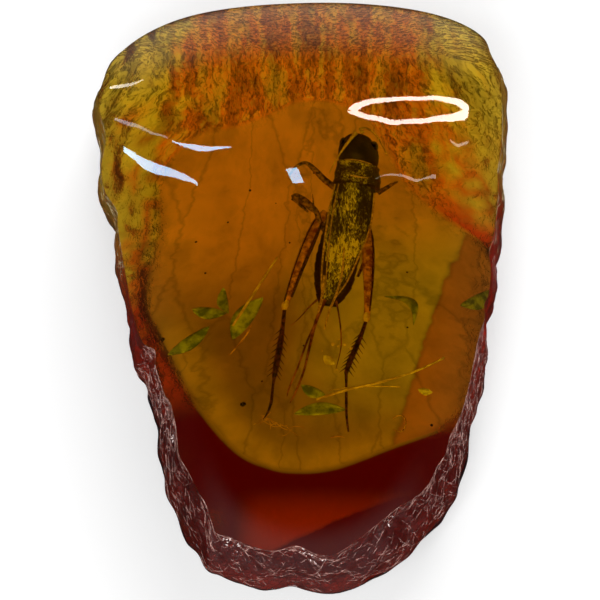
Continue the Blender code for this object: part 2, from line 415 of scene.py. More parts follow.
def brokenPatterns(tree, place, curled):
    # the painted shade of the broken skin's relief in wrinkles, grain and runs, the grain again for the
    # bump, and where painted gold highlights lighten the orange
    cells = addNode(tree, "ShaderNodeTexVoronoi", {
        "Vector": curled, "Scale": 1 / (resin["wrinkleSpacing"] * mm)}, feature="DISTANCE_TO_EDGE")
    wrinkle = addNode(tree, "ShaderNodeMapRange", {  # painted shade in the wrinkles' creases
        "Value": cells.outputs["Distance"], "From Min": 0.0, "From Max": resin["wrinkleWidth"],
        "To Min": resin["wrinkleShade"], "To Max": 1.0}, interpolation_type="SMOOTHSTEP").outputs[0]
    # the grain runs down the block, but along the edge near the broad end
    stretch = resin["grainSpacing"] / resin["grainLength"]
    downways = addNode(tree, "ShaderNodeMapping", {
        "Vector": curled, "Scale": (1.0, stretch, 1.0)}).outputs[0]
    edgeways = addNode(tree, "ShaderNodeMapping", {
        "Vector": curled, "Scale": (0.5 * stretch, 1.0, 1.0)}).outputs[0]
    height = addNode(tree, "ShaderNodeSeparateXYZ", {0: place}).outputs["Y"]
    nearTop = addNode(tree, "ShaderNodeMapRange", {
        "Value": height, "From Min": resin["edgeGrain"][0] * mm,
        "From Max": resin["edgeGrain"][1] * mm}).outputs[0]
    grainways = addNode(tree, "ShaderNodeMix", {
        "Factor": nearTop, "A": downways, "B": edgeways}, data_type="VECTOR").outputs["Result"]
    grains = addNode(tree, "ShaderNodeTexNoise", {
        "Vector": grainways, "Scale": 1 / (resin["grainSpacing"] * mm), "Detail": 3.0, "Roughness": 0.7})
    grain = addNode(tree, "ShaderNodeMapRange", {
        "Value": grains.outputs["Fac"], "From Min": resin["grainRange"][0],
        "From Max": resin["grainRange"][1], "To Min": resin["grainShade"], "To Max": 1.0}).outputs[0]
    # long runs, as the resin dripped while it set, with painted shade between them
    longways = addNode(tree, "ShaderNodeMapping", {
        "Vector": curled, "Scale": (1.0, resin["dripSpacing"] / resin["dripLength"], 1.0)}).outputs[0]
    drips = addNode(tree, "ShaderNodeTexNoise", {
        "Vector": longways, "Scale": 1 / (resin["dripSpacing"] * mm), "Detail": 3.0})
    drip = addNode(tree, "ShaderNodeMapRange", {
        "Value": drips.outputs["Fac"], "From Min": resin["dripRange"][0],
        "From Max": resin["dripRange"][1], "To Min": resin["dripShade"], "To Max": 1.0},
        interpolation_type="SMOOTHSTEP").outputs[0]
    shade = wrinkle
    for pattern in (grain, drip):
        shade = addNode(tree, "ShaderNodeMath", {0: shade, 1: pattern}, operation="MULTIPLY").outputs[0]
    # over the broad end only, painted gold highlights lighten the orange in fine runs and flecks
    highlightRuns = addNode(tree, "ShaderNodeMapRange", {
        "Value": drips.outputs["Fac"], "From Min": 0.5, "From Max": 0.64,
        "To Max": resin["goldHighlightRuns"]}).outputs[0]
    # bright flecks of painted gold highlight
    flecks = addNode(tree, "ShaderNodeMapRange", {
        "Value": grains.outputs["Fac"], "From Min": 0.55, "From Max": 0.7,
        "To Max": resin["goldHighlightFlecks"]}).outputs[0]
    broadEnd = addNode(tree, "ShaderNodeMapRange", {
        "Value": height, "From Min": resin["goldHighlightFrom"][0] * mm,
        "From Max": resin["goldHighlightFrom"][1] * mm}).outputs[0]
    gold = addNode(tree, "ShaderNodeMath", {0: highlightRuns, 1: flecks}, operation="ADD").outputs[0]
    gold = addNode(tree, "ShaderNodeMath", {0: gold, 1: broadEnd}, operation="MULTIPLY").outputs[0]
    return shade, grain, gold


def facetPatterns(tree, curled):
    # hairline cracks in the ground facet, and a faint cloudiness where the dye settled unevenly
    crackways = addNode(tree, "ShaderNodeMapping", {
        "Vector": curled, "Rotation": (0, 0, math.radians(resin["crackTurn"])),
        "Scale": (1.0, 0.3, 1.0)}).outputs[0]
    cells = addNode(tree, "ShaderNodeTexVoronoi", {
        "Vector": crackways, "Scale": 1 / (resin["crackSpacing"] * mm)}, feature="DISTANCE_TO_EDGE")
    crack = addNode(tree, "ShaderNodeMapRange", {
        "Value": cells.outputs["Distance"], "From Min": 0.0, "From Max": resin["crackWidth"],
        "To Min": resin["crackShade"], "To Max": 1.0}).outputs[0]
    clouds = addNode(tree, "ShaderNodeTexNoise", {
        "Vector": curled, "Scale": 1 / (resin["mottleSpacing"] * mm), "Detail": 6.0, "Roughness": 0.6})
    mottle = addNode(tree, "ShaderNodeMapRange", {
        "Value": clouds.outputs["Fac"], "From Min": 0.32, "From Max": 0.6,
        "To Min": resin["mottleShade"], "To Max": 1.1}).outputs[0]
    return addNode(tree, "ShaderNodeMath", {0: crack, 1: mottle}, operation="MULTIPLY").outputs[0]


def pastLine(tree, axes, jag, line, axis):
    # how far a point lies past a jagged slanting line, in metres: start + slope * the other axis
    other = "Y" if axis == "X" else "X"
    edge = addNode(tree, "ShaderNodeMath", {
        0: axes.outputs[other], 1: line[1], 2: (line[0] - 0.5 * resin["edgeJag"]) * mm},
        operation="MULTIPLY_ADD").outputs[0]
    edge = addNode(tree, "ShaderNodeMath", {
        0: jag, 1: resin["edgeJag"] * mm, 2: edge}, operation="MULTIPLY_ADD").outputs[0]
    past = addNode(tree, "ShaderNodeMath", {0: axes.outputs[axis], 1: edge}, operation="SUBTRACT")
    return past.outputs[0]


def sharpPours(tree, place):
    # two pours that meet the others along sharp lines: where the facet's orange band lies, the dark
    # seam beside it, and where the ember-red flake lies
    axes = addNode(tree, "ShaderNodeSeparateXYZ", {0: place})
    jag = addNode(tree, "ShaderNodeTexNoise", {
        "Vector": place, "Scale": 0.5 / mm, "Detail": 3.0}).outputs["Fac"]
    past = pastLine(tree, axes, jag, resin["bandEdge"], "X")
    band = addNode(tree, "ShaderNodeMapRange", {
        "Value": past, "From Min": -0.1 * mm, "From Max": 0.1 * mm}).outputs[0]
    beside = addNode(tree, "ShaderNodeMath", {0: past}, operation="ABSOLUTE").outputs[0]
    seam = addNode(tree, "ShaderNodeMapRange", {
        "Value": beside, "From Min": 0.05 * mm, "From Max": resin["seamWidth"] * mm,
        "To Min": resin["seamShade"], "To Max": 1.0}).outputs[0]
    flake = addNode(tree, "ShaderNodeMapRange", {
        "Value": pastLine(tree, axes, jag, resin["emberEdge"], "Y"), "From Max": 0.5 * mm}).outputs[0]
    for axis, start, end in (("X", resin["emberLeft"], resin["emberLeft"] + 3.0),
                             ("Y", resin["emberTop"], resin["emberTop"] - 5.0)):
        fade = addNode(tree, "ShaderNodeMapRange", {
            "Value": axes.outputs[axis], "From Min": start * mm, "From Max": end * mm},
            interpolation_type="SMOOTHSTEP").outputs[0]
        flake = addNode(tree, "ShaderNodeMath", {0: flake, 1: fade}, operation="MULTIPLY").outputs[0]
    return band, seam, flake


def castAmberResin():
    # Polyester resin, cast in an open mould with an amber dye. The eye sees clear depth that turns from
    # yellow to orange, a mirror-smooth polished dome, and behind it a dull broken back ground flat.
    material, tree, shader, output = newMaterial("castAmberResin")
    shader.inputs["IOR"].default_value = resin["ior"]
    shader.inputs["Transmission Weight"].default_value = 1.0
    skin = addNode(tree, "ShaderNodeAttribute", attribute_name="skin").outputs["Fac"]
    # how strongly the painted crease shade and the bump show on each vertex
    creaseShadeAndBump = addNode(tree, "ShaderNodeAttribute", attribute_name="creaseShade").outputs["Fac"]
    tint = addNode(tree, "ShaderNodeAttribute", attribute_name="tint").outputs["Color"]
    rough = addNode(tree, "ShaderNodeMapRange", {
        "Value": skin, "From Min": 0.1, "From Max": 0.4,
        "To Min": resin["polished"], "To Max": resin["broken"]})
    tree.links.new(rough.outputs[0], shader.inputs["Roughness"])
    onFacet = addNode(tree, "ShaderNodeMath", {
        0: skin, 1: 0.5 * (backSkin + groundSkin) + 0.1}, operation="GREATER_THAN").outputs[0]
    onBack = addNode(tree, "ShaderNodeMath", {
        0: skin, 1: backSkin, 2: 0.2}, operation="COMPARE").outputs[0]
    # a place that wanders a little, so that no pattern runs straight
    place = addNode(tree, "ShaderNodeTexCoord").outputs["Object"]
    drawn = addNode(tree, "ShaderNodeMapping", {"Vector": place, "Scale": (1.0, 0.6, 1.0)}).outputs[0]
    wander = addNode(tree, "ShaderNodeTexNoise", {
        "Vector": place, "Scale": 0.6 / (resin["wrinkleSpacing"] * mm), "Detail": 3.0}).outputs["Color"]
    wander = addNode(tree, "ShaderNodeVectorMath", {
        0: wander, "Scale": 1.6 * resin["wrinkleSpacing"] * mm}, operation="SCALE").outputs[0]
    curled = addNode(tree, "ShaderNodeVectorMath", {0: drawn, 1: wander}, operation="ADD").outputs[0]
    # the patterns darken each skin's dye: painted shade of the broken relief, and the facet's cracks,
    # cloudiness and seam
    broken, grain, gold = brokenPatterns(tree, place, curled)
    cloudy = facetPatterns(tree, curled)
    band, seam, flake = sharpPours(tree, place)
    shade = 1.0
    for share, pattern in ((creaseShadeAndBump, broken), (onFacet, cloudy), (onFacet, seam)):
        pattern = addNode(tree, "ShaderNodeMix", {"Factor": share, "A": 1.0, "B": pattern}).outputs[0]
        shade = addNode(tree, "ShaderNodeMath", {0: shade, 1: pattern}, operation="MULTIPLY").outputs[0]
    # the band and the ember flake mix in their own dyes; the gold share mixes in painted gold highlights
    for share, where, dye in (
            (band, onFacet, "facetBand"), (flake, onBack, "ember"), (gold, onBack, "gold")):
        share = addNode(tree, "ShaderNodeMath", {0: share, 1: where}, operation="MULTIPLY").outputs[0]
        tint = addNode(tree, "ShaderNodeMix", {
            "Factor": share, "A": tint, "B": hexColour(resin[dye])}, data_type="RGBA").outputs["Result"]
    dyed = addNode(tree, "ShaderNodeVectorMath", {0: tint, "Scale": shade}, operation="SCALE").outputs[0]
    tree.links.new(dyed, shader.inputs["Base Color"])
    bump = addNode(tree, "ShaderNodeBump", {
        "Height": grain, "Distance": resin["grainDepth"] * mm, "Strength": creaseShadeAndBump}).outputs[0]
    tree.links.new(bump, shader.inputs["Normal"])
    absorption = addNode(tree, "ShaderNodeVolumeAbsorption", {
        "Color": hexColour(resin["absorb"]), "Density": resin["absorbDensity"]})
    tree.links.new(absorption.outputs["Volume"], output.inputs["Volume"])
    return material


resinBlock = addPiece("resinBlock", blockMesh(), castAmberResin())
resinBlock.data.set_sharp_from_angle(angle=math.radians(60))
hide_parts("resin_block")
print("block made:", len(resinBlock.data.polygons), "faces")

# the insect's own frame, in mm: +Y to the head, +Z up out of its back, origin behind the collar
cricket = {
    "place": (7.9, 13.0, 12.6), "turn": -8.0,  # where it lies in the block, and its turn in degrees
}
cricketFrame = (Matrix.Translation(Vector(cricket["place"]) * mm)
                @ Matrix.Rotation(math.radians(cricket["turn"]), 4, "Z") @ Matrix.Scale(mm, 4))
blockFrame = Matrix.Scale(mm, 4)


def bridge(bm, rings, closedEnds=True):
    # skins a list of rings of vertices, which all have the same count
    count = len(rings[0])
    for first, second in zip(rings, rings[1:]):
        for i in range(count):
            j = (i + 1) % count
            bm.faces.new((first[i], first[j], second[j], second[i]))
    if closedEnds:
        bm.faces.new(list(reversed(rings[0])))
        bm.faces.new(rings[-1])


def sweep(bm, points, sides=10, steps=6, flat=1.0, wave=0.0):
    # a limb or stem along (x, y, z, radius) points; flat squashes it upright
    path = smoothPath(points, steps)
    rings = []
    for i, (x, y, z, radius) in enumerate(path):
        before, after = Vector(path[max(i - 1, 0)][:3]), Vector(path[min(i + 1, len(path) - 1)][:3])
        along = (after - before).normalized()
        across = along.cross(Vector((0, 0, 1)))
        across = across.normalized() if across.length > 1e-6 else Vector((1, 0, 0))
        upright = across.cross(along)
        size = max(radius, 0.012) * (1 + wave * math.sin(2.1 * i))
        rings.append([bm.verts.new(Vector((x, y, z)) + across * size * math.cos(math.tau * k / sides)
                                   + upright * size * flat * math.sin(math.tau * k / sides))
                      for k in range(sides)])
    bridge(bm, rings)


def loft(bm, stations, sides=28, steps=6, power=2.0, relief=None):
    # a body along Y through (y, x, z, half width, half height) stations
    rings = []
    for y, x, z, halfWidth, halfHeight in smoothPath(stations, steps):
        ring = []
        for k in range(sides):
            angle = math.tau * k / sides
            c, s = math.cos(angle), math.sin(angle)
            point = Vector((x + max(halfWidth, 0.02) * math.copysign(abs(c) ** (2 / power), c), y,
                            z + max(halfHeight, 0.02) * math.copysign(abs(s) ** (2 / power), s)))
            if relief:
                point += Vector((c, 0.0, s)) * relief(point)
            ring.append(bm.verts.new(point))
        rings.append(ring)
    bridge(bm, rings)


def sweepAll(lines, **how):
    # a builder that sweeps each of some lines in the same way
    def build(bm):
        for points in lines:
            sweep(bm, points, **how)
    return build


def closeSheet(bm, rows, thickness):
    # a thin closed sheet under rows of points
    upper = [[bm.verts.new(p) for p in row] for row in rows]
    lower = [[bm.verts.new(p - Vector((0, 0, thickness))) for p in row] for row in rows]
    side = len(rows[0]) - 1
    for i in range(len(rows) - 1):
        for k in range(side):
            bm.faces.new((upper[i][k], upper[i][k + 1], upper[i + 1][k + 1], upper[i + 1][k]))
            bm.faces.new((lower[i][k], lower[i + 1][k], lower[i + 1][k + 1], lower[i][k + 1]))
        bm.faces.new((upper[i][0], upper[i + 1][0], lower[i + 1][0], lower[i][0]))
        bm.faces.new((upper[i][side], lower[i][side], lower[i + 1][side], upper[i + 1][side]))
    for top, under, turn in ((upper[0], lower[0], 1), (upper[-1], lower[-1], -1)):
        for k in range(side):
            bm.faces.new((top[k], under[k], under[k + 1], top[k + 1])[::turn])


def pieceFrom(name, build, place, material):
    # builds a mesh in mm with one function, and puts it in its place in the block
    bm = bmesh.new()
    build(bm)
    bmesh.ops.recalc_face_normals(bm, faces=bm.faces)
    bm.transform(place)
    mesh = bpy.data.meshes.new(name)
    bm.to_mesh(mesh)
    bm.free()
    return addPiece(name, mesh, material)


dryIor = 1.56  # of chitin and of dried plant fibre


def sealedMaterial(name, look):
    # a dry natural skin: two colours in fine patches, a dull gloss and a fine relief
    material, tree, shader, output = newMaterial(name)
    place = addNode(tree, "ShaderNodeTexCoord").outputs["Object"]
    patches = addNode(tree, "ShaderNodeTexNoise", {
        "Vector": place, "Scale": 1 / (look["patch"] * mm), "Detail": 4.0, "Roughness": 0.6})
    mixed = addNode(tree, "ShaderNodeMapRange", {
        "Value": patches.outputs["Fac"], "From Min": 0.4, "From Max": 0.62})
    colour = addNode(tree, "ShaderNodeMix", {
        "Factor": mixed.outputs[0], "A": hexColour(look["dark"]), "B": hexColour(look["light"])},
        data_type="RGBA")
    tree.links.new(colour.outputs["Result"], shader.inputs["Base Color"])
    bump = addNode(tree, "ShaderNodeBump", {
        "Height": patches.outputs["Fac"], "Distance": look["relief"] * mm, "Strength": 0.8})
    tree.links.new(bump.outputs[0], shader.inputs["Normal"])
    shader.inputs["Roughness"].default_value = look["roughness"]
    shader.inputs["IOR"].default_value = dryIor
    return material


frost = {
    "seed": 11,
    # stretches of the flank, from and to in degrees round it, and how many ridges lie there
    "wine": ((203, 300, 650), (300, 345, 400), (205, 232, 130), (308, 345, 200)),
    "gold": ((138, 172, 110), (8, 40, 110)),
    "thinnest": 0.018, "thickest": 0.042, "shortest": 0.5, "longest": 2.6, "sink": 0.04,  # in mm
    # where the rim was struck: degrees round it, and how far down the flank from 0 to 1
    "chips": ((254.5, 0.10), (255.5, 0.22), (256.0, 0.05), (256.6, 0.30), (257.4, 0.14), (270.5, 0.05),
              (271.5, 0.16), (272.4, 0.10), (273.4, 0.22), (274.6, 0.16), (290.0, 0.12), (232.0, 0.3)),
    "chipSize": 0.55, "flakesPerChip": 5,
}


def frostRidges(bm, stretches):
    # hairline ridges where the broken resin has crazed white, running roughly along the rim
    dice = random.Random(frost["seed"])
    middle = Vector((*block["middle"], 0.0))
    for start, end in [(start, end) for start, end, count in stretches for i in range(count)]:
        angle = math.radians(dice.uniform(start, end))
        t = dice.random() ** 1.4 * 0.95
        length = dice.uniform(frost["shortest"], frost["longest"])
        steps = max(4, int(length / 0.35))
        lean = dice.uniform(-0.09, 0.09)
        size = dice.uniform(frost["thinnest"], frost["thickest"])
        points = []
        for k in range(steps):
            point = flankPoint(angle, min(0.98, max(0.01, t))) - middle
            fade = math.sin(math.pi * (k + 0.5) / steps)
            points.append((point.x, point.y, point.z - frost["sink"], size * fade))
            angle += math.radians(0.75)
            lean += dice.uniform(-0.08, 0.08)
            t += lean * 0.6
            if not 0.0 < t < 1.0:
                lean = -lean
        sweep(bm, points, sides=4, steps=2)


def buildFrostChips(bm):
    # bright flat flakes where the rim was struck
    dice = random.Random(frost["seed"] + 1)
    middle = Vector((*block["middle"], 0.0))
    for direction, t in frost["chips"]:
        for k in range(frost["flakesPerChip"]):
            angle = math.radians(direction + dice.uniform(-0.9, 0.9))
            at = flankPoint(angle, min(0.9, max(0.03, t + dice.uniform(-0.06, 0.06)))) - middle
            size = frost["chipSize"] * dice.uniform(0.3, 1.0)
            turn = dice.uniform(0, math.tau)
            reach = Vector((math.cos(turn), math.sin(turn), dice.uniform(-0.6, 0.2))) * size
            flake = ((*at, 0.03), (*(at + reach * 0.5), 0.14 * size + 0.03), (*(at + reach), 0.02))
            sweep(bm, flake, sides=5, steps=2, flat=0.3)


# crazed resin, split into a fine white network as it broke: the eye sees frost with the dye behind it
frostedResin = {"dark": "663830", "light": "c49c92", "patch": 0.9, "relief": 0.03, "roughness": 0.55}
for dye, look in (("wine", frostedResin), ("gold", dict(frostedResin, dark="5c4c20", light="c8b88c"))):
    pieceFrom(dye + "FrostRidges", lambda bm: frostRidges(bm, frost[dye]), blockFrame,
              sealedMaterial(dye + "CrazedResin", look))
pieceFrom("frostChips", buildFrostChips, blockFrame, sealedMaterial("chippedResin", dict(
    frostedResin, dark="c0a8a4", light="fff4f0")))
print("frosted rim made")

# the wing's colour ramp paints its light, from painted shade in the folds up to painted gold glints on the
# veins
wingPaintedLook = {
    "stops": ((0.36, "100e04"), (0.45, "3a3a0a"), (0.53, "98981a"), (0.61, "fcff88")),
    "streakWidth": 0.3, "streakLength": 1.0, "foldSpacing": 1.5, "crumpleDepth": 0.2,  # in mm
    "paintedLightFrom": -3.0, "paintedLightTo": 9.0,  # where the painted brighter band lies, along the block's Y, in mm
    "roughness": 0.35,
}


def crumpledWing(name, look):
    # Chitin of a dried fore wing, leathery and wrinkled as it shrank. Its colour paints its light to look
    # like
    # crumpled gold foil: painted gold glints on the veins, painted shade in the dark folds between them
    # and where it turns down its sides, and a painted brighter band across its middle. The finest veins
    # are too fine to show, so they are drawn 0.3 mm apart.
    material, tree, shader, output = newMaterial(name)
    place = addNode(tree, "ShaderNodeTexCoord").outputs["Object"]
    along = addNode(tree, "ShaderNodeMapping", {
        "Vector": place, "Rotation": (0, 0, math.radians(-cricket["turn"])),
        "Scale": (1.0, look["streakWidth"] / look["streakLength"], 1.0)}).outputs[0]
    streaks = addNode(tree, "ShaderNodeTexNoise", {
        "Vector": along, "Scale": 1 / (look["streakWidth"] * mm), "Detail": 4.0, "Roughness": 0.65,
        "Distortion": 1.2}).outputs["Fac"]
    # a painted brighter band across the wing's middle along the block's Y, darker towards either end
    height = addNode(tree, "ShaderNodeSeparateXYZ", {0: place}).outputs["Y"]
    middle = (look["paintedLightFrom"] + look["paintedLightTo"]) / 2
    away = addNode(tree, "ShaderNodeMath", {0: height, 1: middle * mm}, operation="SUBTRACT").outputs[0]
    away = addNode(tree, "ShaderNodeMath", {0: away}, operation="ABSOLUTE").outputs[0]
    paintedLightBand = addNode(tree, "ShaderNodeMapRange", {
        "Value": away, "From Min": 0.0, "From Max": (look["paintedLightTo"] - middle) * mm,
        "To Min": 0.06, "To Max": -0.03}).outputs[0]
    # painted shade in the folds, and painted light between them
    folds = addNode(tree, "ShaderNodeTexNoise", {
        "Vector": along, "Scale": 1 / (look["foldSpacing"] * mm), "Detail": 1.0}).outputs["Fac"]
    foldShading = addNode(tree, "ShaderNodeMapRange", {
        "Value": folds, "From Min": 0.35, "From Max": 0.62, "To Min": -0.09, "To Max": 0.07}).outputs[0]
    # painted shade where the wing turns down its sides
    facing = addNode(tree, "ShaderNodeSeparateXYZ", {
        0: addNode(tree, "ShaderNodeNewGeometry").outputs["Normal"]}).outputs["Z"]
    sideShade = addNode(tree, "ShaderNodeMapRange", {
        "Value": facing, "From Min": 0.45, "From Max": 0.9, "To Min": -0.12, "To Max": 0.0}).outputs[0]
    paintedLightStreaks = addNode(tree, "ShaderNodeMath", {0: streaks, 1: paintedLightBand}, operation="ADD").outputs[0]
    paintedLightStreaks = addNode(tree, "ShaderNodeMath", {0: paintedLightStreaks, 1: foldShading}, operation="ADD").outputs[0]
    paintedLightStreaks = addNode(tree, "ShaderNodeMath", {0: paintedLightStreaks, 1: sideShade}, operation="ADD").outputs[0]
    # the ramp turns it all to colour: painted shade up to painted gold glints
    ramp = addNode(tree, "ShaderNodeValToRGB", {"Fac": paintedLightStreaks})
    stops = ramp.color_ramp.elements
    for i, (position, colour) in enumerate(look["stops"]):
        stop = stops[i] if i < 2 else stops.new(position)
        stop.position, stop.color = position, hexColour(colour)
    tree.links.new(ramp.outputs["Color"], shader.inputs["Base Color"])
    bump = addNode(tree, "ShaderNodeBump", {
        "Height": streaks, "Distance": look["crumpleDepth"] * mm, "Strength": 0.9}).outputs[0]
    tree.links.new(bump, shader.inputs["Normal"])
    shader.inputs["Roughness"].default_value = look["roughness"]
    shader.inputs["IOR"].default_value = dryIor
    return material


# chitin, dried hard: near black on the head and belly, brown on the legs, clear amber where it is thin
headCapsule = {"dark": "0e0a08", "light": "2c201a", "patch": 0.5, "relief": 0.05, "roughness": 0.55}
# the collar takes the wing's painted glints and shade, with its painted brighter band further forward
collarPaintedLook = dict(wingPaintedLook, streakWidth=0.3, streakLength=0.35, paintedLightFrom=14.0, paintedLightTo=20.0, stops=(
    (0.38, "0c0a04"), (0.47, "2c2a0c"), (0.55, "7c7018"), (0.64, "ecf070")))
wingRib = {"dark": "a88a40", "light": "f4dc90", "patch": 0.4, "relief": 0.05, "roughness": 0.4}
bellyPlate = {"dark": "140e0a", "light": "3a2a1c", "patch": 0.3, "relief": 0.15, "roughness": 0.4}
legAmber = {"dark": "8a4c1c", "light": "f0b860", "patch": 0.9, "relief": 0.05, "roughness": 0.35}
legDark = {"dark": "0c0604", "light": "6a3c1c", "patch": 0.5, "relief": 0.08, "roughness": 0.45}
# straw and the palest chitin, bleached dry: a matt pale gold
strawGold = {"dark": "c8b048", "light": "fcf08c", "patch": 1.5, "relief": 0.05, "roughness": 0.5}

head = {
    "capsule": ((8.0, -0.45, -1.0, 0.5, 0.4), (7.6, -0.45, -0.9, 1.5, 1.3), (6.4, -0.4, -0.5, 2.45, 2.1),
                (5.0, -0.3, -0.2, 2.72, 2.45), (3.6, -0.2, -0.2, 2.55, 2.3), (2.6, -0.15, -0.3, 2.0, 1.8)),
    "eyes": ((-2.45, 6.1, 0.2), (1.75, 6.2, 0.2)), "eyeSize": (0.55, 0.85, 0.75),
    "antennae": (((-0.9, 7.7, 0.9, 0.34), (-1.25, 6.9, 1.75, 0.26), (-1.9, 5.6, 2.35, 0.2),
                  (-2.4, 4.6, 2.1, 0.15), (-3.1, 3.2, 1.2, 0.1), (-3.9, 1.2, 0.2, 0.08)),
                 ((0.1, 8.0, 0.6, 0.3), (-0.35, 8.5, 0.3, 0.22), (0.6, 8.9, -0.6, 0.15),
                  (1.9, 8.2, -1.6, 0.09), (3.2, 6.0, -2.2, 0.06))),
}


def buildHead(bm):
    loft(bm, head["capsule"], relief=lambda p: 0.05 * noise.noise(p * 2.2))


def pebble(bm, centre, size, stations, sides, steps, relief):
    # a closed egg, round its own centre
    x, y, z = centre
    width, length, height = size
    turns = [math.pi * i / stations for i in range(stations + 1)]
    loft(bm, [(y + length * math.cos(turn), x, z, width * math.sin(turn), height * math.sin(turn))
              for turn in turns], sides, steps, relief=relief)


def facets(point):
    return 0.015 * math.sin(22 * point.y) * math.sin(22 * point.z)


def buildEyes(bm):
    for centre in head["eyes"]:
        pebble(bm, centre, head["eyeSize"], 8, 18, 2, facets)


collar = {
    "stations": ((3.35, -0.2, -0.3, 2.5, 2.2), (3.25, -0.2, -0.25, 2.78, 2.5),
                 (2.9, -0.2, -0.2, 2.72, 2.45), (1.7, -0.1, -0.1, 2.95, 2.6),
                 (0.6, -0.1, 0.0, 2.95, 2.62), (0.1, -0.1, 0.0, 2.98, 2.66), (-0.15, -0.1, 0.0, 2.6, 2.3)),
    "wrinkle": 0.10,
}


def buildCollar(bm):
    loft(bm, collar["stations"], sides=40, power=2.5,
         relief=lambda p: collar["wrinkle"] * noise.noise(Vector((p.x * 0.7, p.y * 3.0, p.z))))


belly = {
    "stations": ((0.4, -0.1, -0.6, 2.3, 1.9), (-3.0, -0.4, -0.7, 2.7, 2.0),
                 (-8.0, -0.9, -0.8, 2.8, 2.0), (-12.0, -1.3, -0.8, 2.75, 1.8),
                 (-15.0, -1.3, -0.8, 2.5, 1.5), (-17.0, -1.4, -0.8, 1.9, 0.9),
                 (-18.6, -1.6, -0.8, 1.1, 0.4)),
    "ringSpacing": 1.55, "ringDepth": 0.12,
}


def buildBelly(bm):
    # overlapping plates: each starts proud and slopes back under the next
    loft(bm, belly["stations"], sides=32, steps=14,
         relief=lambda p: belly["ringDepth"] * ((p.y / belly["ringSpacing"]) % 1.0))


wings = {
    "length": 17.9, "acrossSteps": 26, "alongSteps": 90, "thickness": 0.10,
    # (y, x) down each outer edge
    "left": ((0.2, -2.5), (-0.7, -2.95), (-7.6, -3.2), (-10.4, -3.15), (-14.0, -2.95), (-17.0, -2.7),
             (-18.1, -2.2)),
    "right": ((0.2, 2.3), (-0.7, 2.5), (-6.6, 2.5), (-10.5, 1.75), (-14.9, 0.6), (-17.0, -0.4),
              (-18.1, -1.5)),
    "overlap": 0.55, "upperLift": 0.16,  # past the middle line, and how much higher the right one lies
    "backHeight": 2.35, "tailHeight": 0.3, "fall": 1.35,  # how far the outer edge bends down the side
    "veinCount": 7, "veinHeight": 0.09, "cellSpacing": 0.75, "cellHeight": 0.12,
}


def edgeAt(points, y):
    for (y0, x0), (y1, x1) in zip(points, points[1:]):
        if y1 <= y <= y0:
            return x0 + (x1 - x0) * (y - y0) / (y1 - y0)
    return points[-1][1]


def wingSheet(bm, edge, overlap, paintedLightBand):
    # one wing, from a little past the back's middle line out to its own edge
    rows = []
    for i in range(wings["alongSteps"] + 1):
        y = 0.2 - (wings["length"] + 0.3) * i / wings["alongSteps"]
        share = i / wings["alongSteps"]
        x0 = 0.5 * (edgeAt(wings["left"], y) + edgeAt(wings["right"], y)) + overlap
        x1 = edgeAt(edge, y)
        top = wings["backHeight"] + (wings["tailHeight"] - wings["backHeight"]) * share**1.6
        row = []
        for k in range(wings["acrossSteps"] + 1):
            v = k / wings["acrossSteps"]
            x = x0 + (x1 - x0) * v
            vein = max(0.0, math.cos(math.pi * v * wings["veinCount"] * 2 + 0.6 * math.sin(y))) ** 6
            cell = noise.voronoi(Vector((x * 1.3, y * 0.75, paintedLightBand)) / wings["cellSpacing"])[0]
            z = (top + paintedLightBand - wings["fall"] * v**3 * (1 - 0.55 * share) + wings["veinHeight"] * vein
                 + wings["cellHeight"] * min(1.0, cell[1] - cell[0]))
            row.append(Vector((x, y, z)))
        rows.append(row)
    closeSheet(bm, rows, wings["thickness"])


ribs = {
    # (x, y, z, radius) down each pale rib of the wings, and round the collar
    "lines": (((-2.75, -0.5, 1.65, 0.12), (-3.1, -5.0, 1.3, 0.14), (-3.15, -10.0, 0.95, 0.13),
               (-2.85, -15.0, 0.6, 0.12), (-2.3, -18.2, 0.2, 0.08)),
              ((-2.2, -0.5, 2.25, 0.08), (-2.55, -6.0, 1.9, 0.09), (-2.4, -12.0, 1.4, 0.08),
               (-2.0, -17.5, 0.55, 0.06)),
              ((2.4, -0.8, 1.5, 0.11), (2.45, -6.0, 1.2, 0.13), (1.7, -10.4, 0.95, 0.12),
               (0.6, -14.8, 0.6, 0.11), (-0.8, -17.8, 0.25, 0.08)),
              ((-0.4, -10.0, 1.95, 0.1), (-0.2, -14.0, 1.3, 0.13), (-0.6, -17.0, 0.6, 0.15),
               (-1.2, -19.6, 0.0, 0.16), (-1.5, -22.2, -0.3, 0.08)),
              ((-2.5, -14.5, 0.9, 0.16), (-2.4, -17.5, 0.4, 0.2), (-2.6, -20.0, 0.0, 0.18),
               (-2.9, -22.6, -0.2, 0.1)),
              ((-1.9, 3.35, 1.75, 0.07), (-0.9, 3.4, 2.25, 0.09), (0.6, 3.4, 2.3, 0.09),
               (1.8, 3.3, 1.75, 0.07)),
              ((-0.8, 0.95, 2.62, 0.1), (0.4, 0.9, 2.66, 0.13), (1.5, 1.05, 2.45, 0.09))),
}


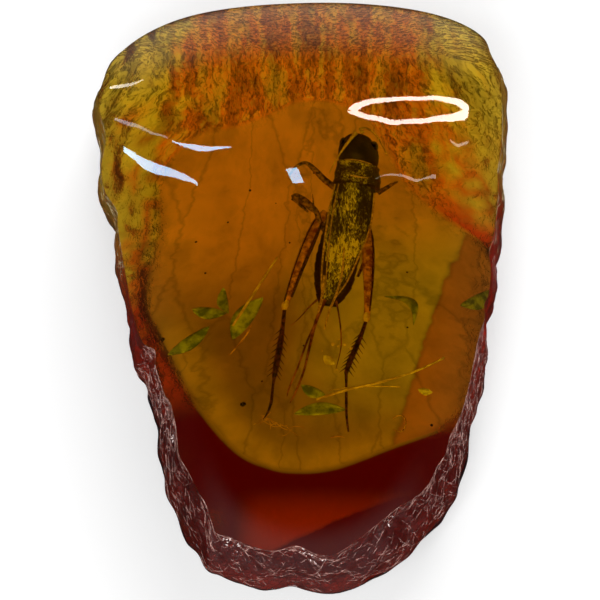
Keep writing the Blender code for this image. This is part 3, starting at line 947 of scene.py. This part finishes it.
legs = {
    # (x, y, z, radius) down each segment
    "hindFemora": (((-3.6, -4.4, -0.6, 0.5), (-4.6, -6.6, -0.5, 0.78), (-5.5, -10.0, -0.4, 0.85),
                    (-6.5, -14.5, -0.4, 0.68), (-7.0, -17.6, -0.5, 0.48), (-7.25, -19.2, -0.6, 0.44)),
                   ((1.5, -4.8, -0.9, 0.45), (2.1, -7.2, -0.8, 0.66), (2.55, -10.5, -0.7, 0.7),
                    (3.1, -14.5, -0.6, 0.56), (3.4, -17.6, -0.6, 0.42), (3.5, -19.3, -0.7, 0.4))),
    "femurEdges": (((-4.4, -4.8, -0.2, 0.1), (-5.35, -7.2, 0.0, 0.15), (-6.3, -11.0, 0.0, 0.16),
                    (-7.1, -15.5, -0.1, 0.14), (-7.5, -19.0, -0.3, 0.12)),
                   ((-3.9, -6.2, 0.1, 0.16), (-4.7, -9.8, 0.3, 0.26), (-5.8, -14.4, 0.2, 0.24),
                    (-6.6, -18.2, -0.1, 0.17)),
                   ((2.5, -6.2, -0.5, 0.09), (3.15, -9.2, -0.4, 0.13), (3.65, -14.0, -0.3, 0.13),
                    (3.8, -18.6, -0.4, 0.11))),
    "knees": (((-7.1, -18.7, -0.4, 0.3), (-7.3, -19.4, -0.5, 0.46), (-7.35, -20.1, -0.6, 0.3)),
              ((3.5, -18.8, -0.5, 0.3), (3.5, -19.5, -0.6, 0.44), (3.5, -20.2, -0.6, 0.28))),
    "hindTibiae": (((-7.3, -19.8, -0.6, 0.24), (-7.15, -22.8, -0.5, 0.3), (-7.1, -25.5, -0.4, 0.42),
                    (-7.15, -28.2, -0.4, 0.4), (-7.15, -29.9, -0.4, 0.3)),
                   ((3.5, -19.9, -0.7, 0.22), (3.2, -22.0, -0.6, 0.26), (2.75, -24.2, -0.5, 0.34),
                    (2.3, -26.3, -0.4, 0.36), (2.05, -28.0, -0.4, 0.26))),
    "hindTarsi": (((-7.15, -29.8, -0.4, 0.24), (-7.1, -31.4, -0.4, 0.17), (-7.0, -33.2, -0.5, 0.2),
                   (-7.2, -34.6, -0.6, 0.14), (-7.6, -35.6, -0.8, 0.07)),
                  ((2.05, -27.8, -0.4, 0.22), (2.3, -29.6, -0.4, 0.16), (2.6, -31.8, -0.5, 0.19),
                   (2.9, -33.8, -0.6, 0.16), (3.4, -35.8, -0.8, 0.12))),
    "foreLegs": (((-2.9, -0.4, -1.0, 0.5), (-4.4, 0.4, -0.6, 0.46), (-6.0, 1.6, -0.2, 0.42),
                  (-7.2, 2.35, 0.0, 0.3), (-8.1, 2.2, 0.0, 0.24), (-9.0, 1.4, -0.2, 0.2),
                  (-9.6, 0.3, -0.5, 0.14)),
                 ((2.5, 0.0, -1.4, 0.4), (3.2, 0.6, -1.3, 0.3), (4.2, 1.7, -1.2, 0.2),
                  (4.7, 2.2, -1.4, 0.1))),
    "middleLegs": (((-3.2, -7.4, -0.6, 0.42), (-4.2, -6.2, -0.2, 0.46), (-4.8, -4.9, 0.1, 0.4),
                    (-5.4, -4.4, 0.2, 0.5), (-6.8, -3.5, 0.3, 0.62), (-8.1, -2.9, 0.3, 0.5),
                    (-8.75, -3.1, 0.2, 0.32)),
                   ((-8.7, -3.2, 0.2, 0.3), (-7.9, -3.6, 0.0, 0.28), (-6.9, -4.3, -0.1, 0.26),
                    (-6.1, -4.9, -0.2, 0.16)),
                   ((-5.4, -4.9, 0.3, 0.16), (-5.5, -3.6, 0.4, 0.12), (-5.8, -2.2, 0.4, 0.05)),
                   ((2.0, -5.8, -1.8, 0.4), (2.5, -7.6, -2.9, 0.34), (2.1, -10.2, -3.3, 0.26),
                    (1.5, -13.0, -3.5, 0.16))),
    "spineCount": 8, "spineLength": 1.25, "spineRadius": 0.11,
}


def spines(bm, points):
    # stiff spines in two rows down the lower half of a tibia
    path = smoothPath(points, 12)
    for side in (-1, 1):
        for i in range(legs["spineCount"]):
            share = 0.3 + 0.66 * (i + 0.25 * side) / legs["spineCount"]
            x, y, z, radius = path[int(share * (len(path) - 1))]
            length = legs["spineLength"]
            tip = (x + side * (radius + 0.5 * length), y - 0.75 * length, z + 0.15)
            root = (x + side * radius * 0.6, y, z)
            half = tuple((a + b) / 2 for a, b in zip(root, tip))
            sweep(bm, (root + (legs["spineRadius"],), half + (0.07,), tip + (0.015,)), sides=5, steps=2)


def buildHindShins(bm):
    sweepAll(legs["femurEdges"] + legs["hindTibiae"] + legs["hindTarsi"], wave=0.05)(bm)
    for points in legs["hindTibiae"]:
        spines(bm, points)


tail = {
    "eggTube": (((-1.8, -17.0, 0.0, 0.3), (-2.75, -21.4, 0.0, 0.24), (-3.1, -25.0, 0.1, 0.2),
                 (-3.4, -28.6, 0.1, 0.17), (-4.1, -31.8, 0.0, 0.16), (-4.6, -33.3, 0.0, 0.06)),
                ((-2.5, -20.4, -0.2, 0.1), (-3.5, -24.1, -0.1, 0.14), (-4.3, -28.2, -0.1, 0.14),
                 (-5.0, -31.2, -0.1, 0.13), (-5.1, -32.4, -0.1, 0.05))),
    "feelers": (((-3.0, -18.0, -0.4, 0.16), (-4.0, -19.3, -0.4, 0.11), (-5.0, -20.9, -0.5, 0.08),
                 (-6.1, -22.3, -0.6, 0.05)),
                ((-0.6, -17.6, -0.4, 0.16), (0.0, -19.6, -0.3, 0.11), (0.6, -22.0, -0.3, 0.1),
                 (0.95, -24.6, -0.4, 0.08), (0.7, -27.6, -0.6, 0.05))),
}


def buildTail(bm):
    sweepAll(tail["eggTube"], flat=0.7)(bm)
    sweepAll(tail["feelers"], sides=8)(bm)


darkChitin = sealedMaterial("blackHeadChitin", headCapsule)
wingMaterial = crumpledWing("leatheryWing", wingPaintedLook)
cricketPieces = {
    "Head": (buildHead, darkChitin),
    "Eyes": (buildEyes, sealedMaterial("eyeChitin", dict(headCapsule, roughness=0.15))),
    "Antennae": (sweepAll(head["antennae"], sides=8, wave=0.12),
                 sealedMaterial("paleAntennaChitin", strawGold)),
    "Collar": (buildCollar, crumpledWing("collarChitin", collarPaintedLook)),
    "Belly": (buildBelly, sealedMaterial("bellyChitin", bellyPlate)),
    "LeftWing": (lambda bm: wingSheet(bm, wings["left"], wings["overlap"], 0.0), wingMaterial),
    "RightWing": (lambda bm: wingSheet(bm, wings["right"], -wings["overlap"], wings["upperLift"]),
                  wingMaterial),
    "WingRibs": (sweepAll(ribs["lines"], sides=8), sealedMaterial("paleWingRib", wingRib)),
    "HindFemora": (sweepAll(legs["hindFemora"], sides=18, steps=8, flat=0.8),
                   sealedMaterial("amberLegChitin", legAmber)),
    "Knees": (sweepAll(legs["knees"], sides=12), sealedMaterial("paleKneeChitin", strawGold)),
    "HindShins": (buildHindShins, sealedMaterial("darkLegChitin", legDark)),
    "SmallLegs": (sweepAll(legs["foreLegs"] + legs["middleLegs"], flat=0.85),
                  sealedMaterial("brownLegChitin", dict(legDark, dark="2a180c", light="b08848"))),
    "Tail": (buildTail, sealedMaterial(
        "eggTubeChitin", dict(legAmber, dark="5a2810", light="b87838", patch=1.6))),
}
for name, (build, material) in cricketPieces.items():
    pieceFrom("cricket" + name, build, cricketFrame, material)
print("cricket made")

# leaves and litter that were cast in with it, in the block's frame, in mm
litter = {
    # from tip to tip (x, y, z), half width, how far the blade bows sideways and how far it arches
    "leaves": (((-13.1, -5.0, 12.4), (-9.2, -6.3, 12.8), 0.85, 0.3, 0.3),
               ((-15.9, -11.2, 12.0), (-11.0, -7.9, 12.6), 0.95, 0.5, 0.4),
               ((-8.3, -10.2, 12.6), (-4.9, -4.3, 13.2), 1.25, -0.6, 0.5),
               ((-9.6, -2.2, 12.2), (-8.9, -6.2, 12.4), 0.6, 0.4, 0.2),
               ((10.9, -3.6, 12.0), (14.3, -7.6, 12.4), 0.6, -2.0, 0.5),
               ((19.4, -3.3, 9.5), (24.6, -0.1, 9.5), 1.1, 0.5, 0.4),
               ((0.2, -16.8, 12.4), (3.4, -18.3, 12.8), 0.75, 0.3, 0.3),
               ((-0.7, -20.4, 11.2), (6.0, -19.9, 11.6), 0.85, -0.4, 0.2)),
    "buds": (((3.2, -12.6, 12.4), (4.6, -13.9, 12.6), 0.62, 0.1, 0.4),
             ((14.6, -16.8, 12.0), (16.5, -17.1, 12.2), 0.5, 0.1, 0.3)),
    "straws": (((-3.2, 1.8, 13.4, 0.14), (-5.9, -3.4, 13.5, 0.2), (-8.4, -8.3, 13.4, 0.16)),
               ((18.2, -12.0, 12.6, 0.14), (14.6, -14.4, 12.9, 0.16), (10.7, -16.2, 13.1, 0.17),
                (6.4, -17.5, 13.1, 0.19), (2.2, -18.9, 12.9, 0.16)),
               ((12.6, -16.8, 12.8, 0.09), (8.4, -17.0, 13.0, 0.11), (3.8, -17.6, 12.8, 0.08))),
    "twigs": (((4.0, -23.5, 11.0, 0.05), (4.9, -23.3, 11.0, 0.11), (5.8, -23.5, 11.0, 0.04)),
              ((-6.0, -8.0, 12.4, 0.1), (-7.0, -10.0, 12.3, 0.12), (-8.4, -12.1, 12.2, 0.07)),
              ((11.6, -21.0, 12.0, 0.09), (12.6, -20.6, 12.2, 0.1), (13.3, -21.6, 12.4, 0.1),
               (12.7, -22.9, 12.3, 0.09), (11.7, -22.6, 12.2, 0.07))),
    "crumbs": ((-6.7, -18.2, 9.0, 0.3), (-15.2, -7.4, 8.0, 0.24), (15.6, -20.6, 9.0, 0.18),
               (-1.5, 6.0, 5.0, 0.14), (-7.0, 14.0, 5.0, 0.16), (2.0, 16.5, 5.0, 0.12),
               (-12.0, 7.5, 4.0, 0.14), (12.5, -6.0, 5.0, 0.12), (0.5, -9.0, 4.0, 0.13),
               (-4.5, -14.0, 5.0, 0.12), (-9.2, 9.4, 6.0, 0.12), (-3.5, 12.0, 5.0, 0.1),
               (-11.0, 2.0, 6.0, 0.12), (13.0, 1.5, 7.0, 0.12)),
    "flecks": ((4.4, -11.0, 12.6, 0.24), (5.1, -11.3, 12.6, 0.16), (5.9, -11.1, 12.7, 0.22),
               (6.7, -11.6, 12.6, 0.2), (4.9, -14.6, 12.5, 0.18), (3.0, -11.9, 12.4, 0.14),
               (5.2, -10.3, 12.5, 0.12)),
    "hairs": 16, "hairStart": (-5.0, -20.6, 11.6), "hairEnd": (-0.8, -22.6, 11.6), "seed": 7,
    "bladeSteps": (20, 8), "bladeThickness": 0.09,
}


def blade(bm, start, end, halfWidth, bow, arch):
    # one leaf: a thin closed sheet with a midrib fold, pointed at both ends
    start, end = Vector(start), Vector(end)
    along = end - start
    across = along.cross(Vector((0, 0, 1))).normalized()
    rows = []
    for i in range(litter["bladeSteps"][0] + 1):
        t = i / litter["bladeSteps"][0]
        rise = math.sin(math.pi * t)
        width = halfWidth * max(0.0, rise) ** 0.8 + 0.02
        centre = start + along * t + across * bow * rise
        row = []
        for k in range(litter["bladeSteps"][1] + 1):
            v = 2 * k / litter["bladeSteps"][1] - 1
            paintedLightBand = arch * rise * (0.6 - v * v) + 0.22 * abs(v) * halfWidth
            ridge = 0.05 * math.cos(9 * v + 16 * t * math.copysign(1, v)) * (1 - v * v)
            row.append(centre + across * width * v + Vector((0, 0, paintedLightBand + ridge)))
        rows.append(row)
    closeSheet(bm, rows, litter["bladeThickness"])


def bladesFrom(leaves):
    def build(bm):
        for leaf in leaves:
            blade(bm, *leaf)
    return build


def buildTwigs(bm):
    sweepAll(litter["twigs"], sides=7, wave=0.15)(bm)
    dice = random.Random(litter["seed"])
    start, end = Vector(litter["hairStart"]), Vector(litter["hairEnd"])
    for i in range(litter["hairs"]):
        centre = start.lerp(end, dice.random())
        points = []
        step = Vector((dice.uniform(-0.6, 0.9), dice.uniform(-0.7, 0.3), 0.0))
        for k in range(4):
            points.append(tuple(centre) + (0.05,))
            centre = centre + step
            step = Matrix.Rotation(dice.uniform(-0.7, 0.7), 3, "Z") @ step
        sweep(bm, points, sides=5, steps=4)


def crumbsFrom(places):
    def build(bm):
        for *centre, radius in places:
            pebble(bm, centre, (radius, radius, 0.8 * radius), 6, 10, 1,
                   lambda p: 0.3 * radius * noise.noise(p * 3.0))
    return build


# leaf, dried flat: dull green, and yellow where it withered before it was cast
leafGreen = {"dark": "5c7414", "light": "b4cc44", "patch": 1.4, "relief": 0.08, "roughness": 0.5}
litterPieces = {
    "smallLeaves": (bladesFrom(litter["leaves"]), sealedMaterial("driedLeaf", leafGreen)),
    "yellowBuds": (bladesFrom(litter["buds"]), sealedMaterial(
        "yellowBud", dict(leafGreen, dark="d8d030", light="ffff90"))),
    "strawStems": (sweepAll(litter["straws"], sides=8, wave=0.08), sealedMaterial("dryStraw", strawGold)),
    "thinTwigs": (buildTwigs, sealedMaterial("dryTwig", dict(strawGold, dark="a87828", light="e8c060"))),
    "darkCrumbs": (crumbsFrom(litter["crumbs"]), darkChitin),
    "paleFlecks": (crumbsFrom(litter["flecks"]), sealedMaterial(
        "paleFleck", dict(strawGold, light="fff0a0"))),
}
for name, (build, material) in litterPieces.items():
    pieceFrom(name, build, blockFrame, material)
print("litter made")

studio = {
    "elevation": 70.0, "distance": 0.9, "lens": 361.0, "aim": (0.0, -0.0015, 0.010),
    "floorColour": "9c9c9c", "floorGlow": 0.45,
    # how bright the room is towards the sky and the walls: along which axis, from where to where in
    # that direction, and the strength at either end; the gloss mirrors a dimmer room
    "room": {"overhead": ("Z", 0.1, 0.7, 1.9, 0.25), "behind": ("Y", 0.0, 0.6, 1.0, 0.1),
             "glossBehind": ("Y", 0.6, 1.0, 0.0, 0.4), "glossBefore": ("Y", -0.2, -0.9, 0.02, 0.3),
             "glossLow": ("Z", 0.0, 0.45, 1.0, 0.0)},
    "horizon": (0.05, 0.3),
    "lampDistance": 0.6, "lampCentre": (0.0, 0.015, 0.025),
    # the front softbox is on the camera's side: from behind or above, the block's back would mirror it
    # through the resin; the rear one lights the paper only, so that the shadow falls to the front
    "softboxes": {"frontSoftbox": ((-0.12, -0.46, 0.62), 7.0, True),
                  "rearSoftbox": ((0.15, 0.6, 0.45), 9.0, False)},
    "softboxSize": 0.5,
}

floorMesh = bpy.data.meshes.new("floor")
floorMesh.from_pydata([(-3, -3, 0), (3, -3, 0), (3, 3, 0), (-3, 3, 0)], [], [(0, 1, 2, 3)])
floor = bpy.data.objects.new("floor", floorMesh)
bpy.context.scene.collection.objects.link(floor)
paper, tree, shader, output = newMaterial("whitePaper")  # paper on a light table: matt and a little lit
shader.inputs["Base Color"].default_value = hexColour(studio["floorColour"])
shader.inputs["Roughness"].default_value = 0.9
shader.inputs["Emission Color"].default_value = (1, 1, 1, 1)
shader.inputs["Emission Strength"].default_value = studio["floorGlow"]
paper.cycles.emission_sampling = "NONE"  # the glow is faint and wide, so it needs no rays of its own
floorMesh.materials.append(paper)
floor.location.z = -0.00002
floor.visible_glossy = False  # the gloss mirrors the dim room instead

world = bpy.data.worlds.new("studioRoom")
bpy.context.scene.world = world
world.use_nodes = True
tree = world.node_tree
tree.nodes["Background"].inputs["Color"].default_value = (1, 1, 1, 1)
direction = addNode(tree, "ShaderNodeTexCoord").outputs["Generated"]
towards = addNode(tree, "ShaderNodeSeparateXYZ", {0: direction})
kindOfRay = addNode(tree, "ShaderNodeLightPath")
room = {}
for name, (axis, start, end, first, last) in studio["room"].items():
    room[name] = addNode(tree, "ShaderNodeMapRange", {
        "Value": towards.outputs[axis], "From Min": start, "From Max": end,
        "To Min": first, "To Max": last}, interpolation_type="SMOOTHSTEP").outputs[0]
aboveHorizon = addNode(tree, "ShaderNodeMapRange", {
    "Value": towards.outputs["Z"], "From Min": studio["horizon"][0], "From Max": studio["horizon"][1],
    "To Min": 1.0, "To Max": room["behind"]}, interpolation_type="SMOOTHSTEP").outputs[0]
sky = addNode(tree, "ShaderNodeMath", {0: room["overhead"], 1: aboveHorizon}, operation="MULTIPLY")
gloss = addNode(tree, "ShaderNodeMath", {
    0: room["glossBehind"], 1: room["glossBefore"]}, operation="ADD").outputs[0]
gloss = addNode(tree, "ShaderNodeMath", {0: gloss, 1: room["glossLow"]}, operation="MULTIPLY").outputs[0]
lit = addNode(tree, "ShaderNodeMix", {
    "Factor": kindOfRay.outputs["Is Glossy Ray"], "A": sky.outputs[0], "B": gloss}).outputs[0]
seen = addNode(tree, "ShaderNodeMix", {
    "Factor": kindOfRay.outputs["Is Camera Ray"], "A": lit, "B": 1.0}).outputs[0]
tree.links.new(seen, tree.nodes["Background"].inputs["Strength"])

# lamps mirrored in the dome: (turn from the back wall, elevation, width) along each, in degrees
lamps = {
    "ringLamp": {"colour": "fff0e2", "strength": 20.0, "path": (
        (6, 45, 1.2), (7, 43, 1.6), (10, 41, 1.8), (18, 39, 1.8), (33, 35, 1.8),
        (49, 25, 2.2), (59, 13, 3.0), (63, 8, 3.2), (63, 13, 3.1), (58, 26, 2.4),
        (45, 40, 1.9), (26, 47, 1.7), (12, 47, 1.6), (7, 46, 1.5), (6, 45, 1.2))},
    "windowLeft": {"colour": "b4e0ff", "strength": 17.0, "path": (
        (-74, -6, 1.2), (-75, 11, 1.9), (-73, 26, 1.9), (-68, 40, 1.6), (-61, 51, 0.8))},
    "windowRight": {"colour": "b4e0ff", "strength": 17.0, "path": (
        (-55, 38, 0.5), (-49, 44, 1.3), (-40, 49, 2.3), (-30, 52, 1.5), (-16, 54, 0.3))},
    "windowEdge": {"colour": "dfe6f2", "strength": 4.0, "path": (
        (-66, -12, 0.8), (-66, 2, 1.6), (-64, 14, 1.4), (-62, 24, 1.0), (-56, 35, 0.8))},
    "cornerStrip": {"colour": "fff8e4", "strength": 7.0, "path": (
        (-52, -22, 1.0), (-50, -10, 2.2), (-45, 1, 2.0), (-38, 8, 0.8))},
    "skylight": {"colour": "b4e0ff", "strength": 16.0, "path": ((-1.5, 60.5, 0.7), (-0.5, 63.5, 0.6))},
    "shelfEdge": {"colour": "fff0e0", "strength": 5.0, "path": (
        (37, 61, 0.2), (53, 54, 0.35), (65, 44, 0.35), (71, 30, 0.25))},
    "shelfTop": {"colour": "fff0e0", "strength": 5.0, "path": (
        (67, 22, 0.3), (70, 15, 0.6), (71, 5, 0.4))},
}


def addLamp(name, lamp):
    # a ribbon of light on a sphere round the block, seen by the gloss only
    centre = Vector(studio["lampCentre"])
    spots = []
    for azimuth, elevation, width in smoothPath(lamp["path"], 8):
        spot = Matrix.Rotation(math.radians(-azimuth), 3, "Z") @ Matrix.Rotation(
            math.radians(elevation), 3, "X") @ Vector((0, 1, 0))
        spots.append((spot, width))
    verts = []
    for i, (spot, width) in enumerate(spots):
        along = spots[min(i + 1, len(spots) - 1)][0] - spots[max(i - 1, 0)][0]
        side = along.cross(spot).normalized() * math.tan(math.radians(width / 2))
        verts += [centre + (spot + offset) * studio["lampDistance"] for offset in (side, -side)]
    mesh = bpy.data.meshes.new(name)
    mesh.from_pydata(verts, [], [(i, i + 1, i + 3, i + 2) for i in range(0, len(verts) - 2, 2)])
    glow, tree, shader, output = newMaterial(name + "Tube")
    shader.inputs["Base Color"].default_value = (0, 0, 0, 1)
    shader.inputs["Emission Color"].default_value = hexColour(lamp["colour"])
    shader.inputs["Emission Strength"].default_value = lamp["strength"]
    glow.cycles.emission_sampling = "NONE"
    mesh.materials.append(glow)
    ribbon = bpy.data.objects.new(name, mesh)
    bpy.context.scene.collection.objects.link(ribbon)
    ribbon.visible_camera = ribbon.visible_diffuse = ribbon.visible_transmission = False
    ribbon.visible_shadow = False


for lampName, lamp in lamps.items():
    addLamp(lampName, lamp)
print("lamps made:", len(lamps))

for name, (place, power, lightsBlock) in studio["softboxes"].items():
    light = bpy.data.objects.new(name, bpy.data.lights.new(name, "AREA"))
    light.data.shape, light.data.size = "SQUARE", studio["softboxSize"]
    light.data.energy = power
    light.location = place
    light.rotation_euler = (-light.location).to_track_quat("-Z", "Y").to_euler()
    light.visible_camera = light.visible_glossy = False
    light.visible_transmission = lightsBlock
    bpy.context.scene.collection.objects.link(light)

camera = bpy.data.objects.new("camera", bpy.data.cameras.new("camera"))
bpy.context.scene.collection.objects.link(camera)
bpy.context.scene.camera = camera
camera.data.lens = studio["lens"]
elevation = math.radians(studio["elevation"])
towardsCamera = Vector((0.0, -math.cos(elevation), math.sin(elevation)))
camera.location = Vector(studio["aim"]) + towardsCamera * studio["distance"]
camera.rotation_euler = (-towardsCamera).to_track_quat("-Z", "Y").to_euler()
camera.data.clip_start = 0.01
bpy.context.scene.view_settings.view_transform = "Standard"
